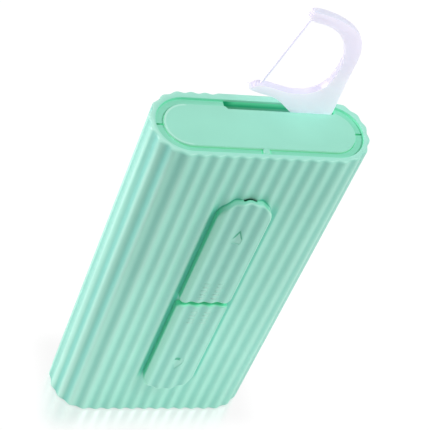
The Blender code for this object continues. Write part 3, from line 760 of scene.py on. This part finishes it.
def opening_tones(place):
    """Painted deep shade and painted glow in deep green on the walls cut through the ring under the case's
    rim, darker near the slot's left end.
    """
    slack = 0.02 * MM
    in_slot = slot_left - slack < place.x < slot_right + slack and place.y > slot_front - slack
    in_keyway = abs(place.x) < keyway_reach and place.y < 0.0
    share = ramp(place.z, ring_bottom, ring_top)
    if ring_bottom - overrun < place.z < ring_top + slack and (in_slot or (in_keyway and share < 1.0)):
        end = ramp(place.x, slot_left + 0.3 * MM, slot_left + 2.5 * MM)
        glow = (0.15 + 0.5 * share) * end
        return {"recess": 1.0 - 0.4 * share * end, "glow": glow, "edge": 0.0, "soft_shade": 0.0}
    return {}


for node, side, tools in (("front_shell", -1, front_tools), ("rear_shell", 1, rear_tools)):
    made = carve(shell_mesh(f"{node}_moulding", side), tools)
    mark(made, opening_tones)
    smooth(made, 38.0)
    piece(f"{node}_moulding", made, "case", shell_plastic, [node])


# Plate in the top

key_across = (-0.6 * MM, 0.6 * MM)
key_back = (-6.15 * MM, -4.6 * MM)
key_up = (86.65 * MM, 87.75 * MM)
plate_fillet = 0.2 * MM
arc_steps = 40


def plate_outline():
    """Stadium with the slot's notch in its rear edge."""
    points = []
    straight = plate_half_width - plate_half_depth
    for index in range(arc_steps + 1):
        turn = math.pi * (index / arc_steps - 0.5)
        points.append((straight + plate_half_depth * math.cos(turn), plate_half_depth * math.sin(turn)))
    points = [place for place in points if not (place[0] < slot_right and place[1] > notch_front)]
    edge_y = math.sqrt(max(0.0, plate_half_depth ** 2 - (slot_right - straight) ** 2))
    points.append((slot_right, edge_y))
    points += [place for place in slot_outline[::-1] if place[1] < edge_y]
    points.append((slot_left, plate_half_depth))
    for index in range(arc_steps + 1):
        turn = math.pi * (index / arc_steps + 0.5)
        points.append((-straight + plate_half_depth * math.cos(turn), plate_half_depth * math.sin(turn)))
    return points


def plate_tones(place):
    """Painted deep shade and painted glow down the plate's side, and a painted highlight along its top edge
    and down its left end.
    """
    down = 1.0 - ramp(place.z, plate_top - 0.2 * MM, plate_top - 0.08 * MM)
    left = ramp(-place.x, 12.0 * MM, 17.0 * MM)
    rim = ramp(place.z, plate_top - 0.15 * MM, plate_top - 0.05 * MM)
    rim *= 1.0 - ramp(place.z, plate_top - 0.04 * MM, plate_top - 0.01 * MM)
    return {"recess": down * (1.0 - left), "glow": down * (0.4 + 0.5 * left),
            "edge": max(0.8 * left * down, 0.7 * rim)}


plate_mesh = prism("top_plate_moulding", plate_outline(), plate_bottom, plate_top, upward)
plate_mesh = rounded(plate_mesh, plate_fillet, 4)
mark(plate_mesh, plate_tones)
smooth(plate_mesh, 40.0)
piece("top_plate_moulding", plate_mesh, "magazine", plate_plastic, ["top_plate"])
key_mesh = rounded(block("plate_key", key_across, key_back, key_up), plate_fillet, 3)
smooth(key_mesh, 40.0)
piece("plate_key", key_mesh, "magazine", plate_plastic)


# Buttons

button_face = half_depth + 1.53 * MM
button_under = half_depth + 0.06 * MM
tunnel_half_width = 1.3 * MM
tunnel_height = 0.52 * MM
button_fillet = 0.42 * MM
button_corner = 1.0 * MM
face_steps = 14
button_columns = 96
upper_straight_end = 43.48 * MM
lower_straight_end = 42.425 * MM
lower_far_end = 10.7 * MM
upper_stem_bottom = 56.0 * MM
lower_stem_bottom = 22.0 * MM
stem_height = 6.0 * MM
stem_overlap = 0.5 * MM
stem_rear = -5.63 * MM
arrow_depth = 0.1 * MM
arrow_corner = 0.15 * MM
arrow_tool_reach = 5.0 * MM
arrow_floor_step = 0.1 * MM


def face_dip(x):
    """How far a button's face lies inside its crests, at a place across it."""
    return flute_dip(x / pitch)


def skirt(x):
    """Depth of a button's lower edge, which follows the flutes but leaves the middle one open as a tunnel."""
    if abs(x) < tunnel_half_width:
        return -half_depth + face_dip(x) - tunnel_height
    return -button_under + face_dip(x)


def button_ends(straight_end, far_end, inset):
    """Points along a button's bowed end and its straight end, drawn in by an inset."""
    away = math.copysign(1.0, far_end - straight_end)
    bowed = []
    for index in range(button_columns + 1):
        turn = math.pi * (index / button_columns - 0.5)
        place = Vector((button_half_width * math.sin(turn), -button_arch * (1.0 - math.cos(turn))))
        out = Vector((math.sin(turn) * button_arch, math.cos(turn) * button_half_width)).normalized()
        place -= out * inset
        bowed.append((place.x, far_end + away * place.y))
    straight = []
    radius = button_corner - inset
    for x, _ in bowed:
        over = abs(x) - (button_half_width - button_corner)
        rise = inset
        if over > 0:
            share = min(1.0, over / radius)
            rise += radius * (1.0 - math.sqrt(max(0.0, 1.0 - share ** 2)))
        straight.append((x, straight_end + away * rise))
    return bowed, straight


def button_mesh(name, straight_end, far_end):
    """Half of the slide button: a fluted face inside a rounded edge that follows the bowed outline."""
    away = math.copysign(1.0, far_end - straight_end)

    # Painted shade, painted highlight and painted glow of the rounded edge at the bowed end and at the
    # straight end
    far_tones = (0.15, 0.3, 0.0) if away > 0 else (0.3, 1.0, 0.3)
    straight_tones = (0.6, 1.0, 0.0) if away > 0 else (0.75, 0.1, 0.4)
    far_base_shade = 0.75 if away > 0 else 0.0
    loops = []
    for inset, drop in fillet(button_fillet, fillet_steps):
        loops.append((*button_ends(straight_end, far_end, inset), drop))
    shape = bmesh.new()
    soft_shade, recess, edge, glow = [shape.verts.layers.float.new(tone) for tone in tone_names]

    def vertex(x, y, z, level, tones):
        """Level runs from 0 under the wall, over 1 at its top, to 2 where the rounded edge meets the face."""
        shaded, bright, lit = tones
        at_far_end = tones is far_tones
        # Painted shade along the left of the outline and painted highlight along its right
        left = ramp(-x, (0.8 if at_far_end else 0.96) * button_half_width, button_half_width)
        right = ramp(x, (0.6 if at_far_end else 0.96) * button_half_width, button_half_width)
        if at_far_end:
            shaded = max(shaded, far_base_shade * max(0.0, 1.0 - level * 1.6))
        shaded = (shaded + (0.8 - shaded) * left) * (1.0 - right)
        if at_far_end and away > 0:
            shaded = max(shaded, 0.5 * ramp(x, 0.42 * button_half_width, 0.62 * button_half_width))
        bright = (bright + (1.0 - bright) * right) * (1.0 - left)
        made = shape.verts.new((x, y, z))
        made[soft_shade] = face_dip(x - tone_shift) / flute_depth * max(0.0, level - 1.0)
        made[glow] = lit * min(1.0, 2.0 - level) * (1.0 - left) * (1.0 - right)
        made[recess] = shaded * min(1.0, 2.0 - level)
        made[edge] = bright * max(0.0, 1.0 - abs(level - 1.5) * 2.0, right * min(1.0, 3.2 - 2.0 * level))
        return made

    rows = []
    for share in (1.0, 0.5):
        lines = []
        for outline, tones in ((loops[0][0], far_tones), (loops[0][1], straight_tones)):
            line = []
            for x, z in outline:
                high = -button_face + face_dip(x) + loops[0][2]
                line.append(vertex(x, high + (skirt(x) - high) * share, z, 1.0 - share, tones))
            lines.append(line)
        rows.append(tuple(lines))
    for index, (top, bottom, drop) in enumerate(loops):
        level = 1.0 + index / fillet_steps
        lines = []
        for outline, tones in ((top, far_tones), (bottom, straight_tones)):
            lines.append([vertex(x, -button_face + face_dip(x) + drop, z, level, tones) for x, z in outline])
        rows.append(tuple(lines))
    for (top, bottom), (next_top, next_bottom) in zip(rows, rows[1:]):
        for index in range(button_columns):
            shape.faces.new((top[index], top[index + 1], next_top[index + 1], next_top[index]))
            shape.faces.new((bottom[index + 1], bottom[index], next_bottom[index], next_bottom[index + 1]))
        shape.faces.new((bottom[0], top[0], next_top[0], next_bottom[0]))
        shape.faces.new((top[-1], bottom[-1], next_bottom[-1], next_top[-1]))
    top, bottom = rows[-1]
    lines = [top]
    for step in range(1, face_steps):
        share = step / face_steps
        line = []
        for first, last in zip(loops[-1][0], loops[-1][1]):
            x = first[0] + (last[0] - first[0]) * share
            z = first[1] + (last[1] - first[1]) * share
            line.append(vertex(x, -button_face + face_dip(x), z, 2.0, far_tones))
        lines.append(line)
    lines.append(bottom)
    for line, after in zip(lines, lines[1:]):
        for index in range(button_columns):
            shape.faces.new((line[index], line[index + 1], after[index + 1], after[index]))
    top, bottom = rows[0]
    for index in range(button_columns):
        shape.faces.new((top[index + 1], top[index], bottom[index], bottom[index + 1]))
    bmesh.ops.remove_doubles(shape, verts=shape.verts, dist=weld_distance)
    return to_mesh(name, shape)


def arrow_tool(tip, points_up):
    """Recess in the shape of an arrow with rounded corners, whose floor follows the flutes."""
    down = -1.0 if points_up else 1.0
    corners = [Vector((arrow_middle, tip))]
    ends = ((arrow_half_width, arrow_head_height), (arrow_half_foot, arrow_height))
    for side in (-1.0, 1.0):
        for half, fall in ends[::int(-side)]:
            corners.append(Vector((arrow_middle + side * half, tip + down * fall)))
    points = []
    for index, corner in enumerate(corners):
        before = corners[index - 1]
        after = corners[(index + 1) % len(corners)]
        first = corner + (before - corner).normalized() * arrow_corner
        last = corner + (after - corner).normalized() * arrow_corner
        points += [tuple(first), tuple(corner * 0.5 + (first + last) * 0.25), tuple(last)]
    across = [arrow_middle + step * arrow_floor_step for step in range(-13, 14)]
    floor_line = [(x, -button_face + face_dip(x) + arrow_depth) for x in across]
    above = [(across[-1], -button_face - overrun), (across[0], -button_face - overrun)]
    fluted = prism("arrow_floor", floor_line + above, tip - arrow_tool_reach, tip + arrow_tool_reach, upward)
    outline = prism("arrow", points, -button_face - 0.9 * overrun, -button_face + overrun, backward)
    return carve(fluted, [(outline, "INTERSECT")])


def stem_tool(bottom):
    """Stem that joins a button to its slide."""
    return block("stem", (-stem_half_width, stem_half_width), (-button_under - stem_overlap, stem_rear),
                 (bottom, bottom + stem_height))


upper_tools = [(arrow_tool(upper_arrow_tip, True), "DIFFERENCE"), (stem_tool(upper_stem_bottom), "UNION")]
lower_tools = [(arrow_tool(lower_arrow_tip, False), "DIFFERENCE"), (stem_tool(lower_stem_bottom), "UNION")]
upper_mesh = carve(button_mesh("upper_button_cap", upper_straight_end, upper_far_end), upper_tools)
lower_mesh = carve(button_mesh("lower_button_cap", lower_straight_end, lower_far_end), lower_tools)


def face_tones(place):
    """Painted shade of the flutes on a button's face where an arrow was cut, and a painted highlight on the
    arrow's floor.
    """
    level = -button_face + face_dip(place.x)
    slack = 0.01 * MM
    if abs(place.x) < 2.5 * MM and level - slack < place.y < level + arrow_depth + slack:
        sunk = 1.0 if place.y > level + arrow_depth / 2 else 0.0
        soft_shade = face_dip(place.x - tone_shift) / flute_depth * (1.0 - 0.5 * sunk)
        return {"soft_shade": soft_shade, "recess": 0.0, "edge": 0.1 * sunk, "glow": 0.0}
    return {}


for made in (upper_mesh, lower_mesh):
    low = min(vertex.co.z for vertex in made.vertices) + 2.0 * MM
    high = max(vertex.co.z for vertex in made.vertices) - 2.0 * MM
    mark(made, lambda place: face_tones(place) if low < place.z < high else {})
    smooth(made, 38.0)
piece("upper_button_cap", upper_mesh, "upper_push", upper_plastic, ["upper_button"])
piece("lower_button_cap", lower_mesh, "lower_release", lower_plastic, ["lower_button"])


# Picks

pick_right = 15.0 * MM
head_width = 18.3 * MM
head_height = 26.5 * MM
pick_length = 75.5 * MM
pick_thickness = 1.5 * MM
rear_lane = 5.435 * MM
lane_pitch = 1.7 * MM
pick_rest = 10.3 * MM
pick_out = 28.8 * MM
pick_fillet = 0.3 * MM
pick_count = 5
head_left = pick_right - head_width
shaft_top = pick_length - head_height
floss_radius = 0.28 * MM
floss_low_shares = (0.124, 0.2366)
floss_high_shares = (0.352, 0.925)

# Outline of a pick. Shares of the head's width and height, or of the whole length down from its top
underside_shares = [
    (-0.003, 0.203), (0.040, 0.181), (0.113, 0.162), (0.185, 0.146), (0.257, 0.132), (0.338, 0.106),
    (0.406, 0.072), (0.469, 0.031), (0.537, -0.012), (0.612, -0.062), (0.689, -0.128), (0.727, -0.208),
    (0.743, -0.320)]
handle_shares = [
    (0.749, 0.550), (0.754, 0.620), (0.765, 0.710), (0.782, 0.810), (0.798, 0.900), (0.816, 0.975),
    (0.836, 1.000), (0.858, 0.975), (0.880, 0.900), (0.907, 0.810), (0.934, 0.710), (0.961, 0.620),
    (0.989, 0.530), (1.008, 0.450)]
bow_shares = [
    (1.022, 0.000), (1.017, 0.140), (1.013, 0.340), (1.013, 0.470), (1.014, 0.561), (0.997, 0.656),
    (0.949, 0.755), (0.844, 0.838), (0.764, 0.880), (0.629, 0.930), (0.503, 0.962), (0.387, 0.982),
    (0.338, 0.982), (0.327, 0.979), (0.320, 0.945), (0.309, 0.918), (0.344, 0.904)]
hollow_shares = [
    (0.413, 0.890), (0.526, 0.868), (0.623, 0.832), (0.707, 0.780), (0.775, 0.717), (0.827, 0.643),
    (0.862, 0.554), (0.872, 0.461), (0.858, 0.379), (0.839, 0.315), (0.807, 0.267), (0.762, 0.228),
    (0.688, 0.194), (0.587, 0.176), (0.473, 0.176), (0.360, 0.194), (0.237, 0.220), (0.125, 0.237),
    (0.068, 0.228), (0.043, 0.212), (0.029, 0.207)]


def smooth_outline(points, steps):
    """Closed smooth line through an outline's points."""
    made = []
    count = len(points)
    for index in range(count):
        before = Vector(points[index - 1])
        here = Vector(points[index])
        after = Vector(points[(index + 1) % count])
        beyond = Vector(points[(index + 2) % count])
        for step in range(steps):
            share = step / steps
            place = (here * 2 + (after - before) * share
                     + (before * 2 - here * 5 + after * 4 - beyond) * share ** 2
                     + (here * 3 - before - after * 3 + beyond) * share ** 3) / 2
            made.append((place.x, place.y))
    return made


def in_head(shares):
    """Place in a pick's head, from shares of its width and height."""
    return (head_left + shares[0] * head_width, shaft_top + shares[1] * head_height)


def pick_outline():
    """Outline of a pick with its tip at height 0."""
    points = [in_head(shares) for shares in underside_shares]
    points += [(head_left + across * head_width, pick_length * (1.0 - down))
               for across, down in handle_shares]
    points += [in_head(shares) for shares in bow_shares + hollow_shares]
    return smooth_outline(points, 5)


pick_points = pick_outline()


for number in range(1, pick_count + 1):
    lane = rear_lane - lane_pitch * (number - 1)
    lift = pick_rest + (pick_out if number == 1 else 0.0)
    body = "drawn_pick" if number == 1 else "magazine"
    outline = [(x, z + lift) for x, z in pick_points]
    name = f"pick_{number}_moulding"
    handle = prism(name, outline, lane - pick_thickness / 2, lane + pick_thickness / 2, backward)
    handle = rounded(handle, pick_fillet, 3)
    smooth(handle, 40.0)
    moulding = piece(name, handle, body, pick_plastic, [f"pick_{number}_handle"])

    # The drawn pick throws no shadow on the case, as in the photograph
    moulding.visible_shadow = number > 1
    ends = (in_head(floss_low_shares), in_head(floss_high_shares))
    bottom, top = [Vector((x, lane, z + lift)) for x, z in ends]
    name = f"pick_{number}_fibre"
    floss = tube_mesh(name, [bottom, bottom.lerp(top, 0.5), top], floss_radius)
    piece(name, floss, body, floss_fibre, [f"pick_{number}_floss"])


# Springs

return_spring_low = 64.0 * MM
release_spring_high = 28.8 * MM
spring_slack = 0.05 * MM
turn_points = 28


def coil_points(low, high, turns):
    """Points along an even coil between two heights."""
    count = turns * turn_points
    bottom = low + spring_wire / 2 + spring_slack
    top = high - spring_wire / 2 - spring_slack
    points = []
    for index in range(count + 1):
        turn = 2.0 * math.pi * index / turn_points
        points.append((spring_x + spring_radius * math.cos(turn), spring_y + spring_radius * math.sin(turn),
                       bottom + (top - bottom) * index / count))
    return points


return_coil = coil_points(return_spring_low, upper_seat[0], 8)
release_coil = coil_points(lower_seat[1], release_spring_high, 7)
return_mesh = tube_mesh("return_spring_wire", return_coil, spring_wire / 2)
release_mesh = tube_mesh("release_spring_wire", release_coil, spring_wire / 2)
return_wire = piece("return_spring_wire", return_mesh, "case", steel, ["return_spring"])
release_wire = piece("release_spring_wire", release_mesh, "case", steel, ["release_spring"])
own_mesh(return_wire)
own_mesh(release_wire)


def leaf_piece(node):
    """A leaf spring with its solid's shape, riding on the magazine."""
    mesh = nodes[node].data.copy()
    mesh.transform(nodes[node].matrix_world)
    mesh.materials.clear()
    leaf = piece(node + "_strip", mesh, "magazine", steel, [node])
    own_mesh(leaf)


leaf_piece("follower_spring_lower")
leaf_piece("follower_spring_upper")


# Pieces whose solids already have the right shape

for node, material in (("magazine_frame", magazine_plastic), ("follower_plate", inner_plastic),
                       ("push_slider", inner_plastic), ("push_yoke", inner_plastic),
                       ("release_slide", inner_plastic)):
    nodes[node].data.materials.clear()
    nodes[node].data.materials.append(material)
    round_edges(nodes[node], solid_fillet, 2)


# Floor, lights and camera

# How the camera sees the case, with the image's sizes and places in pixels
image_size = 430.0
top_across = 261.69
top_down = 127.36
focal = 1749.8
sensor_width = 36.0
azimuth = math.radians(-29.27)
elevation = math.radians(48.11)
roll = math.radians(24.69)
distance = 326.89463 * MM


def floor_material():
    """White floor with a faint reflection near the case."""
    made = Builder("floor_white", (0.95, 0.95, 0.95), 0.5)
    near = made.axis("Y").within(-15.0 * MM, -8.0 * MM, 8.0 * MM, 16.0 * MM)
    near = near * made.axis("X").within(-28.0 * MM, -20.0 * MM, 20.0 * MM, 28.0 * MM)
    paper = made.node("ShaderNodeEmission", 0, {"Color": white, "Strength": 1.03})
    gloss = made.node("ShaderNodeBsdfGlossy", 0, {"Color": white, "Roughness": 0.22})
    sheen = made.node("ShaderNodeMixShader", 0, {0: near * 0.36, 1: paper, 2: gloss})
    camera_ray = made.node("ShaderNodeLightPath", "Is Camera Ray")
    plain = Field(made, made.surface.outputs[0])
    seen = made.node("ShaderNodeMixShader", 0, {0: camera_ray, 1: plain, 2: sheen})
    made.feed(made.tree.nodes["Material Output"].inputs["Surface"], seen)
    return made.material


floor_mesh = bpy.data.meshes.new("floor")
floor_mesh.from_pydata([(-3, -3, 0), (3, -3, 0), (3, 3, 0), (-3, 3, 0)], [], [(0, 1, 2, 3)])
floor_mesh.materials.append(floor_material())
floor = put("floor", floor_mesh)
floor.location = (0.0, 0.0, -0.1 * MM)

# The sky lights softly, and the camera and reflections see it brighter
world = bpy.data.worlds.new("studio")
bpy.context.scene.world = world
sky = Graph(world)
background = sky.tree.nodes["Background"]
sky.feed(background.inputs["Color"], white)
sky.feed(background.inputs["Strength"], 0.42)
camera_ray = sky.node("ShaderNodeLightPath", "Is Camera Ray")
seen = camera_ray.math("MAXIMUM", sky.node("ShaderNodeLightPath", "Is Glossy Ray"))
bright = sky.node("ShaderNodeBackground", 0, {"Strength": 1.0})
switch = sky.node("ShaderNodeMixShader", 0, {0: seen, 1: Field(sky, background.outputs[0]), 2: bright})
sky.feed(sky.tree.nodes["World Output"].inputs["Surface"], switch)


def lamp(name, direction, distance, size, power, aim=(0.0, 0.0, 45.0 * MM), colour=white):
    """Soft square light that shines on the object from a direction."""
    data = bpy.data.lights.new(name, "AREA")
    data.size = size
    data.energy = power
    data.color = colour
    made = put(name, data)
    out = Vector(direction).normalized()
    made.location = Vector(aim) + out * distance
    made.rotation_euler = out.to_track_quat("Z", "Y").to_euler()
    made.visible_camera = False
    return made


lamp("key_light", (0.56, -0.35, 1.0), 0.6, 0.16, 1.9)
lamp("left_light", (-1.0, 0.5, 0.27), 0.5, 0.2, 2.1, colour=(1.0, 0.87, 0.92))
low_lamp = lamp("low_light", (0.1, -1.0, 0.1), 0.045, 0.05, 0.0075, (0.0, -8.0 * MM, 8.0 * MM),
                (1.0, 0.90, 0.94))
low_lamp.visible_glossy = False

# The middle of the case's top lies this far across and down the image
shift_across = (top_across - image_size / 2) / focal * distance
shift_up = (top_down - image_size / 2) / focal * distance
toward = Vector((math.cos(elevation) * math.sin(azimuth), -math.cos(elevation) * math.cos(azimuth),
                 math.sin(elevation)))
level = (-toward).cross(Vector((0.0, 0.0, 1.0))).normalized()
upright = level.cross(-toward)
right = level * math.cos(roll) + upright * math.sin(roll)
up = upright * math.cos(roll) - level * math.sin(roll)
camera_data = bpy.data.cameras.new("camera")
camera_data.sensor_width = sensor_width
camera_data.lens = focal / image_size * sensor_width
camera_data.clip_start = 0.01
camera_data.clip_end = 20.0
camera = put("camera", camera_data)
place = Vector((0.0, 0.0, case_height)) + toward * distance - right * shift_across + up * shift_up
camera.matrix_world = Matrix.Translation(place) @ Matrix((right, up, toward)).transposed().to_4x4()
bpy.context.scene.camera = camera
bpy.context.scene.view_settings.view_transform = "Standard"
